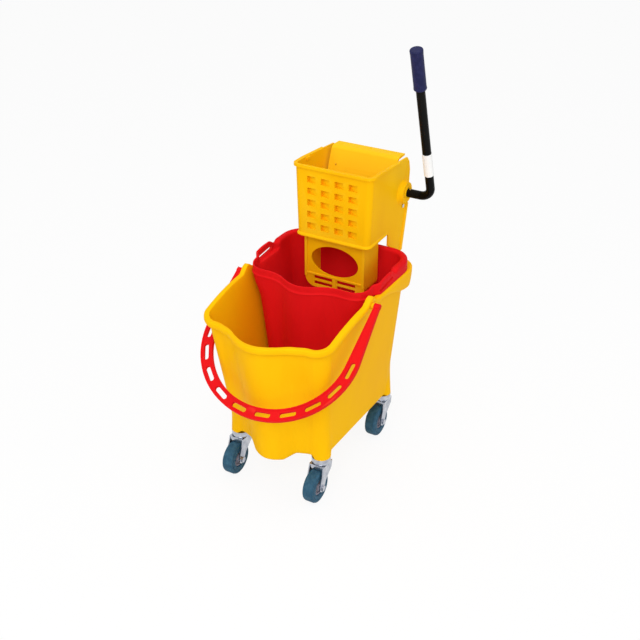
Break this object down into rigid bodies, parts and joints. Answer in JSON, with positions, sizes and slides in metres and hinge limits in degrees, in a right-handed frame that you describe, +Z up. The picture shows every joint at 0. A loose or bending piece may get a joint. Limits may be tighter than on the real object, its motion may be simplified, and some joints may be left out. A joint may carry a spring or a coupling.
{
  "type": "mop bucket trolley",
  "caption": "Moulded mop bucket on swivel casters with a lift-out inner bucket, a swinging bail handle and a lever wringer that presses the mop.",
  "frame": {"origin": "on the floor, below the middle of the bounding box", "axes": "+Z up, front of the bucket towards -Y, lever on the +X side"},
  "size_m": [0.38, 0.56, 0.9618],
  "materials": {
    "yellow_plastic": "moulded, satin gloss",
    "red_plastic": "moulded, satin gloss",
    "grey_plastic": "moulded, matt",
    "blue_tyre": "smooth rubber",
    "violet_rubber": "ribbed, matt",
    "black_paint": "gloss powder coat",
    "white_film": "plain film",
    "zinc_steel": "zinc plated",
    "bright_steel": "drawn"
  },
  "bodies": {
    "bucket": {"main_bucket": "yellow_plastic", "caster_stem_fl": "zinc_steel", "kingpin_nut_fl": "zinc_steel", "race_balls_fl": "bright_steel", "caster_stem_fr": "zinc_steel", "kingpin_nut_fr": "zinc_steel", "race_balls_fr": "bright_steel", "caster_stem_rl": "zinc_steel", "kingpin_nut_rl": "zinc_steel", "race_balls_rl": "bright_steel", "caster_stem_rr": "zinc_steel", "kingpin_nut_rr": "zinc_steel", "race_balls_rr": "bright_steel"},
    "inner_bucket": {"inner_bucket": "red_plastic"},
    "bail": {"bail_handle": "red_plastic"},
    "wringer": {"wringer_cage": "yellow_plastic", "wringer_chute": "yellow_plastic", "rear_crossbar": "yellow_plastic", "crossbar_screws": "zinc_steel", "plate_hinge_pin": "bright_steel", "shaft_bushes": "yellow_plastic", "return_springs": "bright_steel"},
    "press_plate": {"press_plate": "yellow_plastic"},
    "lever": {"drive_shaft": "bright_steel", "press_cams": "zinc_steel", "cam_pins": "bright_steel", "lever_tube": "black_paint", "lever_pin": "zinc_steel", "lever_band": "white_film", "lever_grip": "violet_rubber"},
    "fork_fl": {"caster_fork_fl": "zinc_steel", "axle_bolt_fl": "zinc_steel", "axle_nut_fl": "zinc_steel"},
    "wheel_fl": {"wheel_hub_fl": "grey_plastic", "wheel_tyre_fl": "blue_tyre"},
    "fork_fr": {"caster_fork_fr": "zinc_steel", "axle_bolt_fr": "zinc_steel", "axle_nut_fr": "zinc_steel"},
    "wheel_fr": {"wheel_hub_fr": "grey_plastic", "wheel_tyre_fr": "blue_tyre"},
    "fork_rl": {"caster_fork_rl": "zinc_steel", "axle_bolt_rl": "zinc_steel", "axle_nut_rl": "zinc_steel"},
    "wheel_rl": {"wheel_hub_rl": "grey_plastic", "wheel_tyre_rl": "blue_tyre"},
    "fork_rr": {"caster_fork_rr": "zinc_steel", "axle_bolt_rr": "zinc_steel", "axle_nut_rr": "zinc_steel"},
    "wheel_rr": {"wheel_hub_rr": "grey_plastic", "wheel_tyre_rr": "blue_tyre"}
  },
  "joints": [
    {"name": "bail_swing", "type": "hinge", "parent": "bucket", "child": "bail", "pos_m": [0, -0.029, 0.438], "axis": [-1, 0, 0], "range_deg": [0, 95]},
    {"name": "inner_lift", "type": "slide", "parent": "bucket", "child": "inner_bucket", "axis": [0, 0, 1], "range_m": [0, 0.36]},
    {"name": "wringer_lift", "type": "slide", "parent": "inner_bucket", "child": "wringer", "axis": [0, 0, 1], "range_m": [0, 0.2]},
    {"name": "lever_pull", "type": "hinge", "parent": "wringer", "child": "lever", "pos_m": [0, 0.248, 0.588], "axis": [1, 0, 0], "range_deg": [0, 60], "stiffness_Nm_per_rad": 1.2, "springref_deg": -45.84},
    {"name": "plate_press", "type": "hinge", "parent": "wringer", "child": "press_plate", "pos_m": [0, 0.184, 0.5205], "axis": [1, 0, 0], "range_deg": [0, 21.5]},
    {"name": "swivel_fl", "type": "hinge", "parent": "bucket", "child": "fork_fl", "pos_m": [-0.106, -0.1485, 0.09], "axis": [0, 0, 1], "continuous": true},
    {"name": "spin_fl", "type": "hinge", "parent": "fork_fl", "child": "wheel_fl", "pos_m": [-0.106, -0.1755, 0.0375], "axis": [1, 0, 0], "continuous": true},
    {"name": "swivel_fr", "type": "hinge", "parent": "bucket", "child": "fork_fr", "pos_m": [0.106, -0.1485, 0.09], "axis": [0, 0, 1], "continuous": true},
    {"name": "spin_fr", "type": "hinge", "parent": "fork_fr", "child": "wheel_fr", "pos_m": [0.106, -0.1755, 0.0375], "axis": [1, 0, 0], "continuous": true},
    {"name": "swivel_rl", "type": "hinge", "parent": "bucket", "child": "fork_rl", "pos_m": [-0.106, 0.1485, 0.09], "axis": [0, 0, 1], "continuous": true},
    {"name": "spin_rl", "type": "hinge", "parent": "fork_rl", "child": "wheel_rl", "pos_m": [-0.106, 0.1215, 0.0375], "axis": [1, 0, 0], "continuous": true},
    {"name": "swivel_rr", "type": "hinge", "parent": "bucket", "child": "fork_rr", "pos_m": [0.106, 0.1485, 0.09], "axis": [0, 0, 1], "continuous": true},
    {"name": "spin_rr", "type": "hinge", "parent": "fork_rr", "child": "wheel_rr", "pos_m": [0.106, 0.1215, 0.0375], "axis": [1, 0, 0], "continuous": true}
  ],
  "couplings": [
    {"joint": "plate_press", "follows": "lever_pull", "ratio": 0.35}
  ]
}
